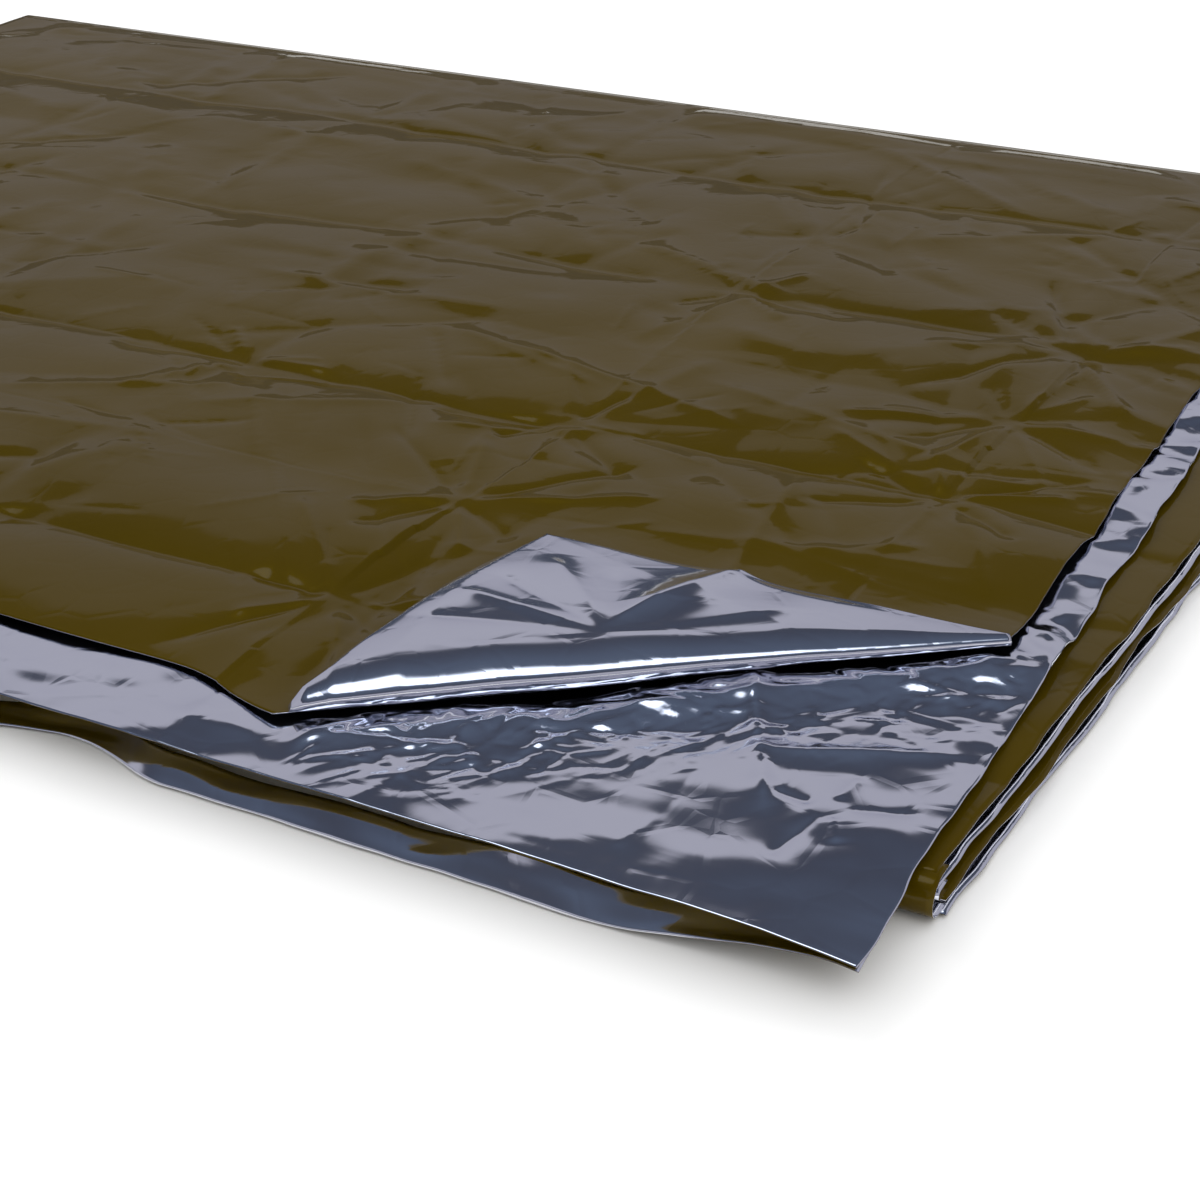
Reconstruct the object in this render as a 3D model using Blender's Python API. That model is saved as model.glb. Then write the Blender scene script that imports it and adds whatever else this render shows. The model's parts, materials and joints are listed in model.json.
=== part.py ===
"""A metallised film bivy sack, lying folded in three with the mouth's corner turned back.

Two film panels, olive outside and silver inside, are joined along the sides and the foot. The sack is
folded like an accordion: the foot section lies on the ground, the middle section on it and the head
section on top. +X is the sack's right side, -Y is the mouth, +Z is up. Each film is a thin slab, thicker
than the real foil so that it can be a solid. The origin is under the middle of the folded sack.
"""

import math

import bmesh
import bpy
from mathutils import Vector

# Driving dimensions, in metres.
WIDTH = 0.926  # the lower panel, across the sack
LENGTH = 2.135  # the lower panel, from the mouth to the foot
OVERHANG = 0.050  # the mouth edge past the near fold
FILM = 0.0008  # the slab that stands for one film
ROOM = 0.0052  # free height inside the sack
LIE = 0.0016  # free height between two folded sections
SIDE_MARGIN = 0.016  # the lower panel past the upper panel, at the right of the head section
SHIFT = {"head": 0.0, "middle": 0.006, "foot": 0.010}  # how far each section lies to the right
SEAM_INSET = 0.008  # from the film's right edge to the seam
MOUTH_MARGIN = 0.041  # the lower panel past the upper panel, at the mouth
SEAM_WIDTH = 0.012
HEM_WIDTH = 0.028
HEM_THICK = 0.0005
FLAP_RISE = 0.0062  # free height under the turned-back corner
FLAP_THICK = 0.0008
FOOT_SHORT = 0.004  # the foot end inside the far fold
TOUCH = 0.0003  # gap between pieces that touch

# The turned-back corner, as distances from the lower panel's mouth corner: along the mouth, then inwards.
CREASE_LEFT = (0.2094, 0.0365)
CREASE_RIGHT = (0.0180, 0.1853)
CORNER_TIP = (0.1969, 0.1856)
CREASE_GAP = 0.0008  # between the flap or the panel and the crease line

# Places worked out from them.
HEAD_LENGTH = (LENGTH + 2 * OVERHANG) / 3
MOUTH_Y = -HEAD_LENGTH / 2
FAR_FOLD_Y = HEAD_LENGTH / 2
NEAR_FOLD_Y = MOUTH_Y + OVERHANG
FOOT_Y = FAR_FOLD_Y - FOOT_SHORT
LEFT_X = -(WIDTH + SHIFT["foot"]) / 2
RIGHT_X = LEFT_X + WIDTH
PANEL_RIGHT_X = RIGHT_X - SIDE_MARGIN
SECTION_HEIGHT = 2 * FILM + ROOM
FOOT_Z = 0.0
MIDDLE_Z = SECTION_HEIGHT + LIE
HEAD_Z = 2 * MIDDLE_Z
UPPER = FILM + ROOM  # the upper film's underside, above its section's
FLAP_Z = HEAD_Z + SECTION_HEIGHT + FLAP_RISE
NEAR_AXIS_Z = MIDDLE_Z - LIE / 2
FAR_AXIS_Z = HEAD_Z - LIE / 2
CREASE_AXIS_Z = (HEAD_Z + UPPER + FILM / 2 + FLAP_Z + FLAP_THICK / 2) / 2

OLIVE = ("olive_film", (0.075, 0.042, 0.004), 0.16, 0.85)
SILVER = ("silver_film", (0.62, 0.63, 0.70), 0.12, 1.0)
SEAM = ("seam_tape", (0.20, 0.19, 0.16), 0.35, 0.2)


def make_material(name, colour, roughness, metallic):
    """One Principled material."""
    material = bpy.data.materials.new(name)
    material.use_nodes = True
    shader = material.node_tree.nodes["Principled BSDF"]
    shader.inputs["Base Color"].default_value = (*colour, 1.0)
    shader.inputs["Roughness"].default_value = roughness
    shader.inputs["Metallic"].default_value = metallic
    material.diffuse_color = (*colour, 1.0)
    return material


def slab(name, outline, bottom, height, finish, pivot=None):
    """A flat slab over an outline of (x, y) points that runs anticlockwise, with its origin at pivot."""
    origin = Vector(pivot or (0.0, 0.0, 0.0))
    mesh = bpy.data.meshes.new(name)
    body = bmesh.new()
    base = [body.verts.new(Vector((x, y, bottom)) - origin) for x, y in outline]
    face = body.faces.new(base)
    lifted = bmesh.ops.extrude_face_region(body, geom=[face])
    top = [v for v in lifted["geom"] if isinstance(v, bmesh.types.BMVert)]
    bmesh.ops.translate(body, verts=top, vec=(0.0, 0.0, height))
    bmesh.ops.recalc_face_normals(body, faces=body.faces)
    body.to_mesh(mesh)
    body.free()
    mesh.materials.append(make_material(name, *finish[1:]))
    piece = bpy.data.objects.new(name, mesh)
    piece.location = origin
    bpy.context.collection.objects.link(piece)
    return piece


def rectangle(x0, x1, y0, y1):
    return [(x0, y0), (x1, y0), (x1, y1), (x0, y1)]


def corner_point(distances):
    """A point of the head section from its distances to the lower panel's mouth corner."""
    along_mouth, inwards = distances
    return Vector((RIGHT_X - along_mouth, MOUTH_Y + inwards))


def shifted_crease(distance):
    """The crease's two ends, moved square to it; a positive distance goes away from the mouth corner."""
    left, right = corner_point(CREASE_LEFT), corner_point(CREASE_RIGHT)
    run = (right - left).normalized()
    square = Vector((-run.y, run.x)) * distance
    return left + square, right + square


def lower_film(section, base, y0, y1, pivot):
    """A section's lower film."""
    shift = SHIFT[section]
    outline = rectangle(LEFT_X + shift, RIGHT_X + shift, y0, y1)
    slab(f"{section}_lower_film", outline, base, FILM, SILVER, pivot)


def upper_film(section, base, y0, y1, pivot):
    """The upper film of the middle or the foot section, as wide as the lower one."""
    shift = SHIFT[section]
    outline = rectangle(LEFT_X + shift, RIGHT_X + shift, y0, y1)
    slab(f"{section}_upper_film", outline, base + UPPER, FILM, OLIVE, pivot)


def side_seam(section, side, base, y0, y1, pivot):
    """The bonded strip between a section's two films along one side."""
    x0 = LEFT_X if side == "left" else RIGHT_X - SEAM_INSET - SEAM_WIDTH
    x0 += SHIFT[section]
    outline = rectangle(x0, x0 + SEAM_WIDTH, y0, y1)
    height = ROOM - 2 * TOUCH
    slab(f"{section}_{side}_seam", outline, base + FILM + TOUCH, height, SEAM, pivot)


def foot_section():
    """The section on the ground, closed at its far end by the foot seam."""
    pivot = (0.0, 0.0, FOOT_Z)
    lower_film("foot", FOOT_Z, NEAR_FOLD_Y, FOOT_Y, pivot)
    upper_film("foot", FOOT_Z, NEAR_FOLD_Y, FOOT_Y, pivot)
    seam_end = FOOT_Y - SEAM_WIDTH
    for side in ("left", "right"):
        side_seam("foot", side, FOOT_Z, NEAR_FOLD_Y, seam_end - TOUCH, pivot)
    shift = SHIFT["foot"]
    outline = rectangle(LEFT_X + shift, RIGHT_X + shift, seam_end, FOOT_Y)
    slab("foot_end_seam", outline, FOOT_Z + FILM + TOUCH, ROOM - 2 * TOUCH, SEAM, pivot)


def middle_section():
    """The section between the two folds, turned over; it swings on the near fold."""
    pivot = (0.0, NEAR_FOLD_Y, NEAR_AXIS_Z)
    lower_film("middle", MIDDLE_Z, NEAR_FOLD_Y, FAR_FOLD_Y, pivot)
    upper_film("middle", MIDDLE_Z, NEAR_FOLD_Y, FAR_FOLD_Y, pivot)
    for side in ("left", "right"):
        side_seam("middle", side, MIDDLE_Z, NEAR_FOLD_Y, FAR_FOLD_Y, pivot)


def head_section():
    """The section with the mouth; it swings on the far fold."""
    pivot = (0.0, FAR_FOLD_Y, FAR_AXIS_Z)
    lower_film("head", HEAD_Z, MOUTH_Y, FAR_FOLD_Y, pivot)
    edge_y = MOUTH_Y + MOUTH_MARGIN
    left, right = shifted_crease(CREASE_GAP)
    outline = [(LEFT_X, edge_y), (left.x, edge_y), tuple(right), (PANEL_RIGHT_X, right.y)]
    outline += [(PANEL_RIGHT_X, FAR_FOLD_Y), (LEFT_X, FAR_FOLD_Y)]
    slab("head_upper_film", outline, HEAD_Z + UPPER, FILM, OLIVE, pivot)
    side_seam("head", "left", HEAD_Z, edge_y, FAR_FOLD_Y, pivot)
    hem = rectangle(LEFT_X, RIGHT_X, MOUTH_Y, MOUTH_Y + HEM_WIDTH)
    slab("mouth_hem", hem, HEAD_Z - TOUCH - HEM_THICK, HEM_THICK, SILVER, pivot)


def corner_flap():
    """The upper film's corner, turned back over the panel on a slanting crease."""
    middle = (corner_point(CREASE_LEFT) + corner_point(CREASE_RIGHT)) / 2
    left, right = shifted_crease(CREASE_GAP)
    outline = [tuple(left), tuple(right), tuple(corner_point(CORNER_TIP))]
    slab("corner_flap", outline, FLAP_Z, FLAP_THICK, SILVER, (middle.x, middle.y, CREASE_AXIS_Z))


def main():
    for thing in list(bpy.data.objects):
        bpy.data.objects.remove(thing, do_unlink=True)
    foot_section()
    middle_section()
    head_section()
    corner_flap()
    run = corner_point(CREASE_RIGHT) - corner_point(CREASE_LEFT)
    print("near fold axis", (0.0, NEAR_FOLD_Y, NEAR_AXIS_Z))
    print("far fold axis", (0.0, FAR_FOLD_Y, FAR_AXIS_Z))
    middle = (corner_point(CREASE_LEFT) + corner_point(CREASE_RIGHT)) / 2
    print("crease axis", tuple(middle), CREASE_AXIS_Z, tuple(run.normalized()))
    print("crease angle", math.degrees(math.atan2(run.y, run.x)))


main()
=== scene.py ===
"""Looks of a metallised film bivy sack, folded in three with the mouth's corner turned back.

Every length is in metres. A place on the head section is given by its distance from the right edge of the
lower film (side) and from the mouth edge (deep), so that the mouth's right corner is (0, 0).
"""

import json
import math

import bpy
import numpy as np
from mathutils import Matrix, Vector


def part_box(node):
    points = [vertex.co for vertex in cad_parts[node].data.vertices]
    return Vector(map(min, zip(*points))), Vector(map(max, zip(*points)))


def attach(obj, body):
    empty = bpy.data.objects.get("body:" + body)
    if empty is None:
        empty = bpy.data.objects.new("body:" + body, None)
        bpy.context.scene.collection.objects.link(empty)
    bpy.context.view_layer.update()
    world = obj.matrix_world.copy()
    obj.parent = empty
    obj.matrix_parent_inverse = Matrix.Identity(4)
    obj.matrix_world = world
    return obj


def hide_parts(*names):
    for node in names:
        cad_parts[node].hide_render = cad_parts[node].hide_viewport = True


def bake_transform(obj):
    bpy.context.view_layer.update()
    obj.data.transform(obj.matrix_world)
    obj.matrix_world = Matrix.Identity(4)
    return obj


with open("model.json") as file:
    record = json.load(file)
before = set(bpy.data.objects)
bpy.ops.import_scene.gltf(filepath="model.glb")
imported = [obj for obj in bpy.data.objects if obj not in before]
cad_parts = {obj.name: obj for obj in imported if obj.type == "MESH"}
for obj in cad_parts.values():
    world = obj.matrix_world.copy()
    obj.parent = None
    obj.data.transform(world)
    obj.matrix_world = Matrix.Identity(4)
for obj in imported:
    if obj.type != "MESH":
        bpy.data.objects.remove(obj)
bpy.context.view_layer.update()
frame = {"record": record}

LOWER_LOW, LOWER_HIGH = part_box("head_lower_film")
UPPER_LOW, UPPER_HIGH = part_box("head_upper_film")
RIGHT_X = LOWER_HIGH[0]
LEFT_X = LOWER_LOW[0]
MOUTH_Y = LOWER_LOW[1]
FAR_Y = LOWER_HIGH[1]
NEAR_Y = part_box("middle_upper_film")[0][1]
WIDTH = RIGHT_X - LEFT_X
DEPTH = FAR_Y - MOUTH_Y
FOOT_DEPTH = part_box("foot_upper_film")[1][1] - NEAR_Y

FILM = 0.00022  # shown thickness of a film
WELD_THICKNESS = 0.0006
# The height at which each film lies.
HEAD_LOWER_Z = LOWER_LOW[2] + 0.0004
HEAD_UPPER_Z = UPPER_LOW[2] - 0.0012
MIDDLE_UPPER_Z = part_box("middle_upper_film")[0][2]
MIDDLE_LOWER_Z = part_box("middle_lower_film")[1][2]
FOOT_UPPER_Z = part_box("foot_upper_film")[0][2]
FOOT_LOWER_Z = 0.0010

NEAR_DEEP = NEAR_Y - MOUTH_Y + 0.0004  # where the lower sections' sheets end, just short of the near fold
FOLD_TAIL = 0.006  # how far a fold's film runs flat into each section
MOST_RELIEF = 0.0014  # of a lower section's creases, up or down, so that the films stay apart

HEM_RUN, HEM_RISE = 0.0090, 0.0070  # how far the hem strip leans out and up
SIDE_MARGIN = RIGHT_X - UPPER_HIGH[0]  # the lower film past the upper one
MOUTH_MARGIN = 0.040

# The turned-back corner: the crease's two ends and the corner's tip, as (side, deep).
CREASE_LEFT = np.array((0.2053, 0.0310))
CREASE_RIGHT = np.array((0.0150, 0.1740))
TIP = np.array((0.1885, 0.1705))
CREASE_RUN = (CREASE_RIGHT - CREASE_LEFT) / np.linalg.norm(CREASE_RIGHT - CREASE_LEFT)
CREASE_SQUARE = np.array((CREASE_RUN[1], -CREASE_RUN[0]))  # away from the mouth corner
CREASE_LENGTH = float(np.linalg.norm(CREASE_RIGHT - CREASE_LEFT))
TIP_Z = 0.0268
FLAP_ROWS = 190  # rows of points from the tip to the fold
ARC_ROWS = 40  # rows round the rolled fold
TUCKED_ROWS = 4  # rows that run on beneath it

# Storage creases: the sack was folded small in its packet.
CREASE_STEP_DEEP = 0.0855
CREASE_STEP_SIDE = 0.162
FIRST_DEEP = 0.104
FIRST_SIDE = 0.074
LINE_SOFTNESS = 0.0014
# Crossings of those creases where the upper film puckers most, as (column, row).
PUCKERS = ((0, 2), (0, 3), (1, 2), (2, 2), (1, 0), (1, 1), (0, 4), (1, 4))


# ---- fields ----------------------------------------------------------------------------------------------


def smooth(value):
    value = np.clip(value, 0.0, 1.0)
    return value * value * (3.0 - 2.0 * value)


def no_lower(z, floor, softness=0.0006):
    """The higher of z and floor, with a soft change between them."""
    return (z + floor + np.sqrt((z - floor) ** 2 + softness**2)) / 2


def wobble(u, v, seed):
    """Gradient noise, about -0.7 to 0.7, one cell to each unit."""
    ui, vi = np.floor(u).astype(np.int64), np.floor(v).astype(np.int64)
    uf, vf = u - ui, v - vi
    us, vs = smooth(uf), smooth(vf)

    def pull(du, dv):
        key = (ui + du) * 374761393 + (vi + dv) * 668265263 + seed * 974711
        key = (key ^ (key >> 13)) * 1274126177 & 0x7FFFFFFF
        turn = ((key ^ (key >> 16)) % 4096) * (2 * math.pi / 4096)
        return np.cos(turn) * (uf - du) + np.sin(turn) * (vf - dv)

    low = pull(0, 0) * (1 - us) + pull(1, 0) * us
    high = pull(0, 1) * (1 - us) + pull(1, 1) * us
    return low * (1 - vs) + high * vs


def crease(side, deep, start, end, height, reach, sharp=None):
    """A ridge from start to end, or a valley if height is negative, that dies away beside its line."""
    out = np.zeros_like(side)
    sharp = sharp or 0.32 * reach
    start, end = np.asarray(start), np.asarray(end)
    length = float(np.linalg.norm(end - start))
    run = (end - start) / length
    pad = 6 * reach
    low, high = np.minimum(start, end) - pad, np.maximum(start, end) + pad
    near = (side > low[0]) & (side < high[0]) & (deep > low[1]) & (deep < high[1])
    if not near.any():
        return out
    s, d = side[near] - start[0], deep[near] - start[1]
    along = (s * run[0] + d * run[1]) / length
    across = s * run[1] - d * run[0]
    fade = smooth(along / 0.25 + 0.15) * smooth((1 - along) / 0.25 + 0.15)
    out[near] = height * fade * np.exp(-(np.sqrt(across**2 + sharp**2) - sharp) / reach)
    return out


def star(side, deep, centre, rays, length, height, reach, rng):
    """Creases that run out from a point where two storage creases cross."""
    out = np.zeros_like(side)
    first = rng.uniform(0, math.pi)
    for k in range(rays):
        turn = first + 2 * math.pi * k / rays + rng.uniform(-0.35, 0.35)
        reach_out = length * rng.uniform(0.5, 1.2)
        away = np.array((math.cos(turn), math.sin(turn)))
        start = np.asarray(centre) + away * 0.005
        size = height * rng.uniform(0.5, 1.2) * (1 if k % 2 else -1)
        out += crease(side, deep, start, start + away * reach_out, size, reach)
    return out


def crumple(side, deep, region, count, lengths, height, reach, heading, spread, rng):
    """Short creases strewn over region = (low side, high side, low deep, high deep)."""
    out = np.zeros_like(side)
    for _ in range(count):
        centre = np.array((rng.uniform(*region[:2]), rng.uniform(*region[2:])))
        turn = heading + rng.normal(0, spread)
        half = np.array((math.cos(turn), math.sin(turn))) * rng.uniform(*lengths) / 2
        size = height * rng.uniform(0.3, 1.0) * rng.choice((-1, 1))
        out += crease(side, deep, centre - half, centre + half, size, reach * rng.uniform(0.6, 1.5))
    return out


def storage_creases(side, deep, height, pillow, seed):
    """The grid of creases left by the packet, with the film pillowing between them."""
    rng = np.random.default_rng(seed)
    bent_deep = deep + 0.016 * wobble(side / 0.21, deep / 0.30, seed)
    bent_side = side + 0.012 * wobble(side / 0.30, deep / 0.17, seed + 1)
    row = (bent_deep - FIRST_DEEP) / CREASE_STEP_DEEP
    column = (bent_side - FIRST_SIDE) / CREASE_STEP_SIDE
    swell = np.abs(np.sin(math.pi * row)) ** 0.75 * (0.55 + 0.45 * np.abs(np.sin(math.pi * column)))
    uneven = 0.65 + 0.9 * wobble(np.floor(row) + 0.37, np.floor(column) + 0.61, seed + 2)
    out = pillow * swell * uneven
    for k in range(-2, 10):
        distance = np.abs(row - k) * CREASE_STEP_DEEP
        sign = 1 if k % 2 else -1
        strength = 0.55 + 0.6 * wobble(side / 0.08 + 9.1 * k, deep * 0 + 0.5, seed + 3)
        soft = np.sqrt(distance**2 + LINE_SOFTNESS**2) - LINE_SOFTNESS
        out += sign * height * strength * np.exp(-soft / 0.0065)
    for k in range(-1, 7):
        distance = np.abs(column - k) * CREASE_STEP_SIDE
        sign = 1 if k % 2 else -1
        strength = 0.35 + 0.8 * wobble(deep / 0.07 + 5.3 * k, side * 0 + 0.5, seed + 4)
        soft = np.sqrt(distance**2 + LINE_SOFTNESS**2) - LINE_SOFTNESS
        out += sign * 0.8 * height * strength * np.exp(-soft / 0.006)
    for i in range(-1, 9):
        for j in range(0, 6):
            centre = (FIRST_SIDE + j * CREASE_STEP_SIDE, FIRST_DEEP + i * CREASE_STEP_DEEP)
            jitter = rng.uniform(-0.012, 0.012, 2)
            size = height * rng.uniform(0.05, 0.42)
            reach = rng.uniform(0.0018, 0.0040)
            rays, length = rng.integers(3, 7), rng.uniform(0.02, 0.07)
            out += star(side, deep, centre + jitter, rays, length, size, reach, rng)
    return out


# ---- meshes ----------------------------------------------------------------------------------------------


def face_normals(points, faces):
    a, b, c = points[faces[:, 0]], points[faces[:, 1]], points[faces[:, 2]]
    return np.cross(b - a, c - a)


def face_up(points, faces):
    """The same faces, wound so that the sheet as a whole faces up."""
    return faces if face_normals(points, faces).sum(axis=0)[2] > 0 else faces[:, ::-1]


def vertex_normals(points, triangles):
    out = np.zeros_like(points)
    normals = face_normals(points, triangles)
    for corner in range(3):
        np.add.at(out, triangles[:, corner], normals)
    return out / np.maximum(np.linalg.norm(out, axis=1, keepdims=True), 1e-12)


def film_object(name, points, faces, over, under, thickness=FILM):
    """A closed film of triangles: a front in the material over, and a back in the material under."""
    if faces.shape[1] == 4:
        faces = np.concatenate([faces[:, [0, 1, 2]], faces[:, [0, 2, 3]]])
    used = np.unique(faces)
    order = np.full(len(points), -1)
    order[used] = np.arange(len(used))
    points, faces = points[used], order[faces]
    count = len(points)
    back = points - vertex_normals(points, faces) * thickness
    steps = np.concatenate([faces[:, [k, (k + 1) % 3]] for k in range(3)])
    key = np.sort(steps, axis=1)
    _, where, uses = np.unique(key[:, 0] * count + key[:, 1], return_index=True, return_counts=True)
    rim = steps[where[uses == 1]]
    rim_faces = np.stack([rim[:, 1], rim[:, 0], rim[:, 0] + count, rim[:, 1] + count], axis=1)
    groups = [faces, faces[:, ::-1] + count, rim_faces]
    corners = np.concatenate([g.ravel() for g in groups])
    totals = np.concatenate([np.full(len(g), g.shape[1]) for g in groups])
    slots = np.concatenate([np.full(len(g), min(k, 1)) for k, g in enumerate(groups)])
    mesh = bpy.data.meshes.new(name)
    mesh.vertices.add(2 * count)
    mesh.vertices.foreach_set("co", np.concatenate([points, back]).astype(np.float32).ravel())
    mesh.loops.add(len(corners))
    mesh.loops.foreach_set("vertex_index", corners.astype(np.int32))
    mesh.polygons.add(len(totals))
    starts = np.concatenate([[0], np.cumsum(totals)[:-1]])
    mesh.polygons.foreach_set("loop_start", starts.astype(np.int32))
    mesh.polygons.foreach_set("material_index", slots.astype(np.int32))
    mesh.materials.append(over)
    mesh.materials.append(under)
    mesh.update(calc_edges=True)
    mesh.validate()
    mesh.shade_smooth()
    piece = bpy.data.objects.new(name, mesh)
    bpy.context.collection.objects.link(piece)
    return piece


def grid_faces(rows, columns):
    index = np.arange(rows * columns).reshape(rows, columns)
    parts = (index[:-1, :-1], index[:-1, 1:], index[1:, 1:], index[1:, :-1])
    return np.stack([p.ravel() for p in parts], axis=1)


def graded(end, fine, coarse, fine_until, growth=1.06):
    """Distances from 0 to end: fine steps at first, growing to coarse ones past fine_until."""
    marks, step = [0.0], fine
    while marks[-1] < end:
        if marks[-1] > fine_until:
            step = min(step * growth, coarse)
        marks.append(marks[-1] + step)
    marks = np.array(marks)
    return marks * end / marks[-1]


def place(side, deep, height):
    """World points of places on the head section."""
    return np.stack([RIGHT_X - side, MOUTH_Y + deep, height], axis=-1)


# ---- materials -------------------------------------------------------------------------------------------


def new_material(name):
    material = bpy.data.materials.new(name)
    material.use_nodes = True
    nodes, links = material.node_tree.nodes, material.node_tree.links
    return material, nodes, links, nodes["Principled BSDF"]


def ramp(nodes, links, value, low, high):
    """Remap a 0..1 value to low..high."""
    node = nodes.new("ShaderNodeMapRange")
    links.new(value, node.inputs["Value"])
    node.inputs["To Min"].default_value = low
    node.inputs["To Max"].default_value = high
    return node.outputs["Result"]


def noise_texture(nodes, links, place_in, scale, detail=3.0, distortion=0.0):
    node = nodes.new("ShaderNodeTexNoise")
    node.inputs["Scale"].default_value = scale
    node.inputs["Detail"].default_value = detail
    node.inputs["Distortion"].default_value = distortion
    links.new(place_in, node.inputs["Vector"])
    return node.outputs["Fac"]


def multiply_add(nodes, links, value, factor, added):
    """value times factor, plus added."""
    node = nodes.new("ShaderNodeMath")
    node.operation = "MULTIPLY_ADD"
    links.new(value, node.inputs[0])
    node.inputs[1].default_value = factor
    links.new(added, node.inputs[2])
    return node.outputs[0]


def bump(nodes, links, height, strength, distance, *normals_in):
    """Bump the surface by height, for each of the normal sockets given."""
    node = nodes.new("ShaderNodeBump")
    node.inputs["Strength"].default_value = strength
    node.inputs["Distance"].default_value = distance
    links.new(height, node.inputs["Height"])
    for socket in normals_in:
        links.new(node.outputs["Normal"], socket)


def film_relief(nodes, links, place_in, strength, *normals_in):
    """Fine wrinkles: a network of tiny creases over a soft ripple."""
    cells = nodes.new("ShaderNodeTexVoronoi")
    cells.feature = "DISTANCE_TO_EDGE"
    cells.inputs["Scale"].default_value = 55
    links.new(place_in, cells.inputs["Vector"])
    edge = nodes.new("ShaderNodeMapRange")
    edge.inputs["From Max"].default_value = 0.10
    links.new(cells.outputs["Distance"], edge.inputs["Value"])
    ripple = noise_texture(nodes, links, place_in, 22, 2.0, 0.4)
    grain = noise_texture(nodes, links, place_in, 420, 2.0)
    relief = multiply_add(nodes, links, edge.outputs["Result"], 0.10, ripple)
    relief = multiply_add(nodes, links, grain, 0.012, relief)
    bump(nodes, links, relief, strength, 0.0016, *normals_in)


def mixed_colour(nodes, links, factor, first, second):
    node = nodes.new("ShaderNodeMix")
    node.data_type = "RGBA"
    links.new(factor, node.inputs["Factor"])
    node.inputs["A"].default_value = (*first, 1)
    node.inputs["B"].default_value = (*second, 1)
    return node.outputs["Result"]


def silver_material():
    """Bare aluminium side of the film: a mirror with a faint haze."""
    material, nodes, links, shader = new_material("silver film")
    where = nodes.new("ShaderNodeTexCoord").outputs["Object"]
    cloud = noise_texture(nodes, links, where, 9, 4.0, 0.3)
    links.new(mixed_colour(nodes, links, cloud, (0.74, 0.75, 0.83), (0.86, 0.87, 0.92)),
              shader.inputs["Base Color"])
    links.new(ramp(nodes, links, cloud, 0.05, 0.15), shader.inputs["Roughness"])
    shader.inputs["Metallic"].default_value = 1.0
    film_relief(nodes, links, where, 0.22, shader.inputs["Normal"])
    return material


def olive_material():
    """Lacquered side of the film: deep olive under a clear gloss."""
    material, nodes, links, shader = new_material("olive film")
    where = nodes.new("ShaderNodeTexCoord").outputs["Object"]
    cloud = noise_texture(nodes, links, where, 7, 4.0, 0.3)
    links.new(mixed_colour(nodes, links, cloud, (0.066, 0.0425, 0.0006), (0.090, 0.058, 0.0012)),
              shader.inputs["Base Color"])
    links.new(ramp(nodes, links, cloud, 0.26, 0.40), shader.inputs["Roughness"])
    shader.inputs["Metallic"].default_value = 0.35
    shader.inputs["Specular IOR Level"].default_value = 0.0
    shader.inputs["Coat Weight"].default_value = 0.44
    shader.inputs["Coat Roughness"].default_value = 0.03
    shader.inputs["Coat IOR"].default_value = 1.38
    film_relief(nodes, links, where, 0.16, shader.inputs["Normal"], shader.inputs["Coat Normal"])
    return material


def weld_material():
    """Heat-sealed band: the film pressed matt, with fine cross ribs."""
    material, nodes, links, shader = new_material("welded band")
    where = nodes.new("ShaderNodeTexCoord").outputs["Object"]
    wave = nodes.new("ShaderNodeTexWave")
    wave.inputs["Scale"].default_value = 260
    wave.inputs["Distortion"].default_value = 0.6
    links.new(where, wave.inputs["Vector"])
    links.new(mixed_colour(nodes, links, wave.outputs["Fac"], (0.50, 0.50, 0.54), (0.66, 0.66, 0.70)),
              shader.inputs["Base Color"])
    links.new(ramp(nodes, links, wave.outputs["Fac"], 0.30, 0.45), shader.inputs["Roughness"])
    shader.inputs["Metallic"].default_value = 0.9
    bump(nodes, links, wave.outputs["Fac"], 0.5, 0.0004, shader.inputs["Normal"])
    return material


SILVER = silver_material()
OLIVE = olive_material()
WELD = weld_material()


# ---- head section ----------------------------------------------------------------------------------------


def crease_place(side, deep):
    """Distance along the crease, 0 to 1, and distance from it, positive away from the mouth corner."""
    s, d = side - CREASE_LEFT[0], deep - CREASE_LEFT[1]
    along = (s * CREASE_RUN[0] + d * CREASE_RUN[1]) / CREASE_LENGTH
    return along, s * CREASE_SQUARE[0] + d * CREASE_SQUARE[1]


def roll_centre(along):
    """Height of the middle of the rolled fold."""
    spots = (0.0, 0.02, 0.06, 0.15, 0.4, 0.7, 1.0)
    return np.interp(along, spots, (0.0216, 0.0238, 0.0256, 0.0270, 0.0274, 0.0272, 0.0250))


def roll_radius(along):
    spots = (0.0, 0.02, 0.06, 0.15, 0.4, 0.7, 1.0)
    return np.interp(along, spots, (0.0010, 0.0032, 0.0050, 0.0064, 0.0060, 0.0042, 0.0018))


def brow_reach(along):
    """How far behind the rolled fold its crest lies."""
    spots = (0.0, 0.02, 0.06, 0.12, 0.45, 0.75, 1.0)
    return np.interp(along, spots, (0.0006, 0.0040, 0.0090, 0.0135, 0.0125, 0.0080, 0.0015))


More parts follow.
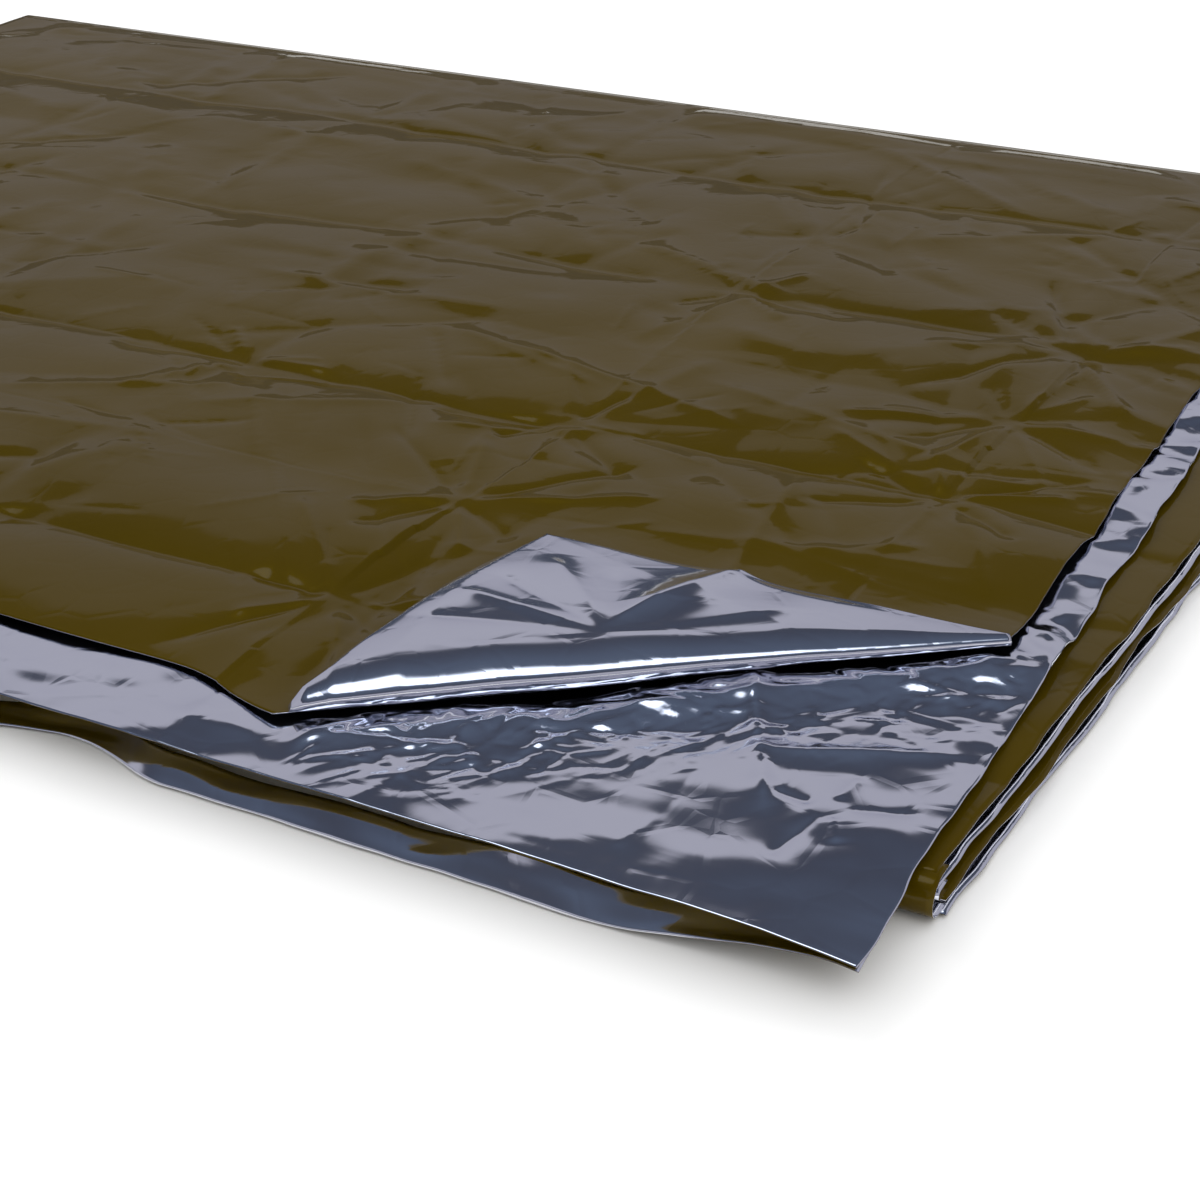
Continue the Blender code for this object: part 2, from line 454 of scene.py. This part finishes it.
def head_lower_height(side, deep):
    """The lower film of the head section: liquid-smooth near the corner, crumpled below the rolled fold."""
    rng = np.random.default_rng(11)
    z = HEAD_LOWER_Z + 0.0010 * wobble(side / 0.060, deep / 0.045, 21)
    z = z + 0.0016 * wobble(side / 0.12, deep / 0.10, 22)
    z = z + storage_creases(side, deep, 0.0008, 0.0009, 31)
    z = z + 0.0010 * wobble(side / 0.034, deep / 0.024, 23) + 0.0003 * wobble(side / 0.015, deep / 0.011, 24)
    rim = np.exp(-side / 0.030) * smooth((deep - 0.10) / 0.05)
    rim_strip = (0.0, 0.06, 0.10, DEPTH)
    z = z + rim * crumple(side, deep, rim_strip, 150, (0.02, 0.07), 0.0016, 0.0040, 0.3, 0.6, rng)
    along, off = crease_place(side, deep)
    below = smooth((off + 0.060) / 0.030) * smooth((0.006 - off) / 0.012)
    inside = smooth(along / 0.06 + 0.4) * smooth((1.06 - along) / 0.06)
    heading = math.atan2(CREASE_RUN[1], CREASE_RUN[0])
    region = (0.005, 0.215, 0.010, 0.190)
    fine = crumple(side, deep, region, 240, (0.020, 0.060), 0.00045, 0.0020, heading, 0.45, rng)
    fine = fine + crumple(side, deep, region, 700, (0.006, 0.022), 0.00042, 0.0008, heading, 0.7, rng)
    z = z + fine * below * inside
    later = smooth((along - 0.35) / 0.30)
    z = z + (0.0025 + 0.0018 * later) * np.exp(-(((off + 0.010 - 0.005 * later) / 0.012) ** 2)) * inside
    z = z + crease(side, deep, (0.088, 0.128), (0.050, 0.052), 0.0022, 0.0035)
    z = z + star(side, deep, (0.034, 0.063), 5, 0.026, 0.0008, 0.0020, rng)
    z = z + crease(side, deep, (0.006, 0.112), (0.075, 0.080), 0.0012, 0.0030)
    stack = MIDDLE_UPPER_Z + 0.0017 - 0.02 * smooth((NEAR_DEEP - deep) / 0.02)
    return no_lower(z, stack)


def head_lower_sheet():
    side = graded(WIDTH, 0.0011, 0.005, 0.27)
    deep = graded(DEPTH, 0.0011, 0.004, 0.22)
    side, deep = np.meshgrid(side, deep)
    z = head_lower_height(side, deep)
    wave = 0.0022 * wobble(deep / 0.045, side * 0, 41) + 0.0012 * wobble(deep / 0.018, side * 0, 42)
    wave = wave * smooth((DEPTH - deep) / 0.10)
    shown_side = side + wave * np.exp(-side / 0.02)
    lip = 0.0015 * wobble(side / 0.07, deep * 0, 43) + 0.0025 * np.sin(math.pi * side / WIDTH)
    shown_deep = deep + lip * np.exp(-deep / 0.03)
    z = z - 0.0008 * np.exp(-deep / 0.020) * smooth(side / 0.10)
    z = z - 0.0040 * np.exp(-(deep + side) / 0.035)
    z = fade_at_fold(z, deep, HEAD_LOWER_Z)
    points = place(shown_side, shown_deep, z).reshape(-1, 3)
    faces = grid_faces(*side.shape)[:, ::-1]
    piece = film_object("head_lower_sheet", points, faces, SILVER, OLIVE)
    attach(piece, "head_section")
    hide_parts("head_lower_film")


def fade_at_fold(z, deep, level):
    """The film runs flat into the far fold, where the wrap takes over."""
    keep = smooth((DEPTH - deep) / 0.030)
    return level + (z - level) * keep


def head_upper_height(side, deep):
    z = HEAD_UPPER_Z + storage_creases(side, deep, 0.0019, 0.0040, 57)
    z = z + 0.0030 * wobble(side / 0.16, deep / 0.11, 58) + 0.0012 * wobble(side / 0.05, deep / 0.04, 59)
    rng = np.random.default_rng(77)
    everywhere = (0.0, WIDTH, 0.03, DEPTH)
    z = z + crumple(side, deep, everywhere, 260, (0.05, 0.17), 0.0015, 0.0060, 0.5, 0.9, rng)
    z = z + crumple(side, deep, everywhere, 260, (0.02, 0.06), 0.0005, 0.0022, 0.5, 1.2, rng)
    for column, row in PUCKERS:
        centre = (FIRST_SIDE + column * CREASE_STEP_SIDE, FIRST_DEEP + row * CREASE_STEP_DEEP)
        z = z + star(side, deep, centre, rng.integers(6, 10), rng.uniform(0.05, 0.08), 0.0016, 0.0032, rng)
    edge = np.minimum(side - SIDE_MARGIN, (deep - MOUTH_MARGIN) * 1.2)
    z = z - 0.0030 * np.exp(-np.maximum(edge, 0) / 0.030)
    z = no_lower(z, head_lower_height(side, deep) + 0.0010)
    along, off = crease_place(side, deep)
    level = roll_centre(along) - roll_radius(along)
    near = smooth(1 - np.abs(off) / 0.035) * smooth(along / 0.1 + 1) * smooth((1 - along) / 0.1 + 1)
    return z * (1 - near) + level * near


def head_upper_sheet():
    side = graded(WIDTH - SIDE_MARGIN, 0.0012, 0.0045, 0.26) + SIDE_MARGIN
    deep = graded(DEPTH - MOUTH_MARGIN, 0.0012, 0.0035, 0.30) + MOUTH_MARGIN
    side, deep = np.meshgrid(side, deep)
    z = head_upper_height(side, deep)
    wave = 0.0015 * wobble(deep / 0.05, side * 0, 61) + 0.0008 * wobble(deep / 0.015, side * 0, 62)
    shown_side = side + wave * np.exp(-(side - SIDE_MARGIN) / 0.015)
    widen = SIDE_MARGIN * smooth((deep - 0.60) / 0.13)  # out to the far fold's full width
    shown_side = shown_side - widen * np.exp(-(side - SIDE_MARGIN) / 0.25)
    lip = 0.0025 * wobble(side / 0.06, deep * 0, 63)
    pull = -0.011 * smooth((0.255 - side) / 0.05)
    shown_deep = deep + (lip + pull) * np.exp(-(deep - MOUTH_MARGIN) / 0.03)
    z = fade_at_fold(z, deep, HEAD_UPPER_Z)
    along, off = crease_place(shown_side, shown_deep)
    faces = grid_faces(*side.shape)[:, ::-1]
    faces = faces[(off.ravel()[faces] > 0).any(axis=1)]
    past = np.minimum(off, 0.0)  # the last faces are cut off along the crease
    shown_side = shown_side - past * CREASE_SQUARE[0]
    shown_deep = shown_deep - past * CREASE_SQUARE[1]
    points = place(shown_side, shown_deep, z).reshape(-1, 3)
    piece = film_object("head_upper_sheet", points, faces, OLIVE, SILVER)
    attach(piece, "head_section")
    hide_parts("head_upper_film")


def flap_streaks(side, deep):
    """Creases that fan out from the middle of the fold towards the flap's left edge."""
    out = np.zeros_like(side)
    hub = (0.128, 0.103)
    for end, height in (
        ((0.176, 0.150), 0.0013),
        ((0.186, 0.128), -0.0012),
        ((0.192, 0.108), 0.0014),
        ((0.196, 0.086), -0.0010),
        ((0.150, 0.152), -0.0009),
        ((0.080, 0.155), 0.0009),
        ((0.066, 0.150), -0.0008),
    ):
        out += crease(side, deep, hub, end, height, 0.0045, 0.0012)
    return out


def flap_row(i):
    """Row i of the turned corner's triangle, from its left edge to its right edge: i + 1 points."""
    t = i / FLAP_ROWS
    bow = math.sin(math.pi * t)
    left = TIP + (CREASE_LEFT - TIP) * t + np.array((0.006, -0.002)) * bow
    right = TIP + (CREASE_RIGHT - TIP) * t + np.array((0.000, -0.001)) * bow
    share = np.linspace(0, 1, i + 1)
    spot = left + (right - left) * share[:, None]
    spot = spot + CREASE_SQUARE * (brow_reach(share) * t**2)[:, None]
    side, deep = spot[:, 0], spot[:, 1]
    crest = roll_centre(share) + roll_radius(share)
    z = TIP_Z + (crest - TIP_Z) * math.sin(math.pi / 2 * t) ** 1.1
    lift = bow * smooth(share / 0.1) * smooth((1 - share) / 0.1)
    ridge = crease(side, deep, (0.106, 0.190), (0.135, 0.098), 0.0034, 0.0080, 0.0012)
    ridge = ridge + flap_streaks(side, deep)
    edge_wave = 0.0012 * wobble(side / 0.04, deep / 0.035, 71)
    z = z + ridge * min(1.0, (1 - t) * 4) + edge_wave * min(1.0, (1 - t) * 5) + 0.0010 * lift
    return place(side, deep, z)


def roll_row(k):
    """Row k of the film round the rolled fold, from its crest down, and then of the edge tucked beneath."""
    share = np.linspace(0, 1, FLAP_ROWS + 1)
    line = CREASE_LEFT + (CREASE_RIGHT - CREASE_LEFT) * share[:, None]
    turn = math.pi / 2 - math.pi * min(k, ARC_ROWS) / ARC_ROWS
    radius = roll_radius(share) * (1 + 0.10 * wobble(share * 9, share * 0 + k * 0.05, 72))
    brow = brow_reach(share) if turn > 0 else 0.0
    out = (radius + brow) * math.cos(turn) - brow
    tuck = 0.0008 * max(k - ARC_ROWS, 0)
    spot = line - CREASE_SQUARE * out[:, None] + CREASE_SQUARE * tuck
    z = roll_centre(share) + radius * math.sin(turn) - (0.0004 if k > ARC_ROWS else 0)
    return place(spot[:, 0], spot[:, 1], z)


def turned_corner_triangles(starts):
    """The triangles between rows that begin at starts: each row is a point longer up to the fold."""
    triangles = []
    for i, (a, b) in enumerate(zip(starts[:-1], starts[1:])):
        j = np.arange(min(i + 1, FLAP_ROWS))
        triangles.append(np.stack([a + j, b + j, b + j + 1], axis=1))
        j = j[:i]
        triangles.append(np.stack([a + j, b + j + 1, a + j + 1], axis=1))
    return np.concatenate(triangles)


def turned_corner_sheet():
    """The corner of the upper film: it rises round the rolled fold and lies back over the panel."""
    rows = [flap_row(i) for i in range(FLAP_ROWS + 1)]
    rows += [roll_row(k) for k in range(1, ARC_ROWS + TUCKED_ROWS + 1)]
    points = np.concatenate(rows)
    starts = np.cumsum([0] + [len(row) for row in rows[:-1]])
    faces = face_up(points, turned_corner_triangles(starts))
    piece = film_object("turned_corner_sheet", points, faces, SILVER, OLIVE)
    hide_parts("corner_flap")
    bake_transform(piece)


def mouth_hem():
    """A narrow silver strip that hangs from the corner and bows along the ground below the mouth edge."""
    side = graded(WIDTH, 0.0022, 0.006, 0.30)
    across = np.linspace(0, 1, 12)
    side, across = np.meshgrid(side, across)
    drop = smooth(side / 0.085)
    foot = HEAD_LOWER_Z - 0.0022 - 0.0040 * np.exp(-side / 0.035) - (HEAD_LOWER_Z - 0.0030) * drop
    wander = 0.0018 * wobble(side / 0.06, across * 0, 82) + 0.0008 * wobble(side / 0.017, across * 0, 83)
    slack = 0.010 * smooth((side - 0.235) / 0.04) * smooth((0.33 - side) / 0.05)
    deep = 0.0015 + wander + slack + HEM_RUN * across
    rise = 0.0012 + HEM_RISE * drop * (1 - 0.85 * smooth((side - 0.10) / 0.35))
    rise = rise * (1 + 0.6 * wobble(side / 0.05, across * 0.3, 81))
    z = foot + rise * across + 0.0012 * wobble(side / 0.026, across * 1.5, 84) * np.sin(math.pi * across)
    points = place(side, deep, z).reshape(-1, 3)
    faces = grid_faces(*side.shape)[:, ::-1]
    piece = film_object("mouth_hem_strip", points, faces, SILVER, OLIVE)
    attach(piece, "head_section")
    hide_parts("mouth_hem")


# ---- lower sections --------------------------------------------------------------------------------------


def stack_edge(deep, offset, seed):
    """How far a lower section's right edge stands out past the head section's, along its length."""
    drift = 0.058 * np.minimum(deep - 0.045, 0.27)
    wave = 0.0026 * wobble(deep / 0.050, deep * 0, seed) + 0.0012 * wobble(deep / 0.017, deep * 0, seed + 1)
    return (offset + drift + wave) * smooth((DEPTH - deep) / 0.30)


def section_sheet(name, node, body, level, edge, seed, over, under, end):
    """One film of the middle or the foot section, from the near fold to end."""
    side = graded(WIDTH, 0.0022, 0.006, 0.05, 1.04)
    deep = graded(end - NEAR_DEEP, 0.0028, 0.006, 0.30) + NEAR_DEEP
    side, deep = np.meshgrid(side, deep)
    relief = storage_creases(side, deep, 0.0008, 0.0006, seed)
    relief = relief + 0.0006 * wobble(side / 0.09, deep / 0.07, seed)
    rng = np.random.default_rng(seed)
    everywhere = (0.0, WIDTH, 0.05, end)
    relief = relief + crumple(side, deep, everywhere, 200, (0.03, 0.11), 0.0006, 0.0040, 0.5, 1.1, rng)
    relief = np.clip(relief, -MOST_RELIEF, MOST_RELIEF)
    ends = smooth((deep - NEAR_DEEP) / 0.02) * smooth((end - deep) / 0.02)
    z = level + relief * ends
    out = stack_edge(deep, edge, seed) * np.exp(-side / 0.10)
    points = place(side - out, deep, z).reshape(-1, 3)
    piece = film_object(name, points, grid_faces(*side.shape)[:, ::-1], over, under)
    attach(piece, body)
    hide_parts(node)


def lower_sections():
    middle_end, foot_end = DEPTH, NEAR_Y - MOUTH_Y + FOOT_DEPTH
    section_sheet("middle_upper_sheet", "middle_upper_film", "middle_section", MIDDLE_UPPER_Z, 0.0040, 101,
                  OLIVE, SILVER, middle_end)
    section_sheet("middle_lower_sheet", "middle_lower_film", "middle_section", MIDDLE_LOWER_Z, 0.0048, 102,
                  SILVER, OLIVE, middle_end)
    section_sheet("foot_upper_sheet", "foot_upper_film", "foot_section", FOOT_UPPER_Z, 0.0075, 103,
                  OLIVE, SILVER, foot_end)
    section_sheet("foot_lower_sheet", "foot_lower_film", "foot_section", FOOT_LOWER_Z, 0.0080, 104,
                  SILVER, OLIVE, foot_end)


def wrap(name, fold_y, outward, low, high, edge, seed, over, under):
    """The film round a fold, from the lower level to the upper one, with the material over on its outside."""
    side = graded(WIDTH, 0.0025, 0.008, 0.05, 1.05)
    radius, middle = (high - low) / 2, (high + low) / 2
    tail_rows, round_rows = 4, 25
    tail = np.linspace(FOLD_TAIL, 0.001, tail_rows)
    turns = np.linspace(-math.pi / 2, math.pi / 2, round_rows)
    turns = np.concatenate([np.full(tail_rows, turns[0]), turns, np.full(tail_rows, turns[-1])])
    inwards = np.concatenate([tail, np.zeros(round_rows), tail[::-1]])
    side, turn = np.meshgrid(side, turns)
    bulge = 1 + 0.35 * wobble(side / 0.06, turn / 3, seed)
    y = fold_y + outward * (radius * np.cos(turn) * bulge - inwards[:, None])
    z = middle + radius * np.sin(turn)
    out = stack_edge(np.full_like(side, fold_y - MOUTH_Y), edge, seed) * np.exp(-side / 0.10)
    points = np.stack([RIGHT_X - side + out, y, z], axis=-1).reshape(-1, 3)
    faces = grid_faces(*side.shape)
    if outward < 0:
        faces = faces[:, ::-1]
    piece = film_object(name, points, faces, over, under)
    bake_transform(piece)


def folds():
    wrap("near_fold_outer", NEAR_Y, -1, FOOT_LOWER_Z, MIDDLE_UPPER_Z, 0.0060, 111,
         OLIVE, SILVER)
    wrap("near_fold_inner", NEAR_Y, -1, FOOT_UPPER_Z, MIDDLE_LOWER_Z, 0.0060, 112,
         SILVER, OLIVE)
    wrap("far_fold_outer", FAR_Y, 1, MIDDLE_LOWER_Z, HEAD_UPPER_Z, 0.0, 113,
         OLIVE, SILVER)
    wrap("far_fold_inner", FAR_Y, 1, MIDDLE_UPPER_Z, HEAD_LOWER_Z, 0.0, 114,
         SILVER, OLIVE)


def weld(node, body):
    """A heat-sealed band with a ribbed face, in place of a seam."""
    low, high = (np.array(c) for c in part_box(node))
    size = high - low
    long_axis = 0 if size[0] > size[1] else 1
    step = 0.003
    along = np.linspace(0.001, 0.999, int(size[long_axis] / step))
    across = np.linspace(0, 1, 7)
    along, across = np.meshgrid(along, across)
    z = (low[2] + high[2]) / 2 + 0.0004 * wobble(along * size[long_axis] / 0.05, across, 121)
    u = low[long_axis] + size[long_axis] * along
    v = low[1 - long_axis] + size[1 - long_axis] * across
    x, y = (u, v) if long_axis == 0 else (v, u)
    points = np.stack([x, y, z], axis=-1).reshape(-1, 3)
    faces = face_up(points, grid_faces(*along.shape))
    piece = film_object(node + "_weld", points, faces, WELD, WELD, WELD_THICKNESS)
    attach(piece, body)
    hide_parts(node)


def welds():
    for body, nodes in frame["record"]["behaviour"]["bodies"].items():
        for node in nodes:
            if node.endswith("_seam"):
                weld(node, body)


# ---- stage -----------------------------------------------------------------------------------------------


def make_camera():
    data = bpy.data.cameras.new("camera")
    data.lens = 64.8
    data.sensor_width = 36
    data.clip_end = 50
    camera = bpy.data.objects.new("camera", data)
    bpy.context.collection.objects.link(camera)
    tilt = math.radians(27.84)
    ahead = Vector((-0.4621 * math.cos(tilt), 0.8868 * math.cos(tilt), -math.sin(tilt)))
    camera.location = (RIGHT_X + 0.1545, MOUTH_Y - 0.4459, LOWER_LOW[2] + 0.355)
    camera.rotation_mode = "QUATERNION"
    camera.rotation_quaternion = ahead.to_track_quat("-Z", "Y")
    bpy.context.scene.camera = camera


def make_floor():
    mesh = bpy.data.meshes.new("floor")
    half = 8
    corners = [(-half, -half, 0), (half, -half, 0), (half, half, 0), (-half, half, 0)]
    mesh.from_pydata(corners, [], [(0, 1, 2, 3)])
    floor = bpy.data.objects.new("floor", mesh)
    floor.location.z = -0.0005
    bpy.context.collection.objects.link(floor)
    material, nodes, links, shader = new_material("floor")
    shader.inputs["Base Color"].default_value = (0.93, 0.93, 0.93, 1)
    shader.inputs["Roughness"].default_value = 0.9
    shader.inputs["Specular IOR Level"].default_value = 0.1
    mesh.materials.append(material)


def make_world():
    """A studio: white and strongest overhead for what it lights, dark walls and bright panels in mirrors."""
    world = bpy.data.worlds.new("studio")
    bpy.context.scene.world = world
    world.use_nodes = True
    nodes, links = world.node_tree.nodes, world.node_tree.links
    nodes.clear()
    where = nodes.new("ShaderNodeTexCoord").outputs["Generated"]
    split = nodes.new("ShaderNodeSeparateXYZ")
    links.new(where, split.inputs[0])
    bend = nodes.new("ShaderNodeTexNoise")
    bend.inputs["Scale"].default_value = 1.7
    bend.inputs["Detail"].default_value = 0.0
    links.new(where, bend.inputs["Vector"])
    upward = nodes.new("ShaderNodeMath")
    upward.operation = "MULTIPLY"
    upward.inputs[1].default_value = 0.85
    links.new(split.outputs["Z"], upward.inputs[0])
    height = multiply_add(nodes, links, bend.outputs["Fac"], 0.22, upward.outputs[0])
    panels = nodes.new("ShaderNodeValToRGB")
    stops = (
        (0.00, (0.060, 0.070, 0.100)),
        (0.19, (0.060, 0.070, 0.100)),
        (0.22, (0.36, 0.36, 0.43)),
        (0.585, (0.43, 0.43, 0.495)),
        (0.61, (0.050, 0.056, 0.080)),
        (0.865, (0.090, 0.115, 0.170)),
        (0.895, (1.6, 1.75, 2.0)),
        (1.00, (2.2, 2.3, 2.5)),
    )
    ramp_points = panels.color_ramp.elements
    while len(ramp_points) < len(stops):
        ramp_points.new(0.5)
    for element, (spot, colour) in zip(ramp_points, stops):
        element.position = spot
        element.color = (*colour, 1)
    links.new(height, panels.inputs["Fac"])
    reflected = nodes.new("ShaderNodeBackground")
    links.new(panels.outputs["Color"], reflected.inputs["Color"])
    path = nodes.new("ShaderNodeLightPath")
    overhead = nodes.new("ShaderNodeMapRange")
    overhead.inputs["From Max"].default_value = 0.55
    overhead.inputs["To Min"].default_value = 0.20
    overhead.inputs["To Max"].default_value = 1.10
    links.new(split.outputs["Z"], overhead.inputs["Value"])
    strength = nodes.new("ShaderNodeMix")
    links.new(path.outputs["Is Diffuse Ray"], strength.inputs["Factor"])
    strength.inputs["A"].default_value = 0.95
    links.new(overhead.outputs["Result"], strength.inputs["B"])
    lit = nodes.new("ShaderNodeBackground")
    lit.inputs["Color"].default_value = (1, 1, 1, 1)
    links.new(strength.outputs["Result"], lit.inputs["Strength"])
    mix = nodes.new("ShaderNodeMixShader")
    links.new(path.outputs["Is Glossy Ray"], mix.inputs["Fac"])
    links.new(lit.outputs[0], mix.inputs[1])
    links.new(reflected.outputs[0], mix.inputs[2])
    output = nodes.new("ShaderNodeOutputWorld")
    links.new(mix.outputs[0], output.inputs["Surface"])


def make_lights():
    for name, spot, size, power in (
        ("key", (-1.2, 1.4, 1.9), 1.0, 12),
        ("fill", (1.5, -1.0, 1.5), 1.2, 5),
    ):
        data = bpy.data.lights.new(name, "AREA")
        data.size = size
        data.energy = power
        light = bpy.data.objects.new(name, data)
        light.visible_glossy = False
        light.location = spot
        light.rotation_mode = "QUATERNION"
        light.rotation_quaternion = (-Vector(spot)).to_track_quat("-Z", "Y")
        bpy.context.collection.objects.link(light)
    bpy.context.scene.view_settings.view_transform = "Standard"


make_camera()
head_lower_sheet()
head_upper_sheet()
turned_corner_sheet()
mouth_hem()
lower_sections()
folds()
welds()
make_floor()
make_world()
make_lights()
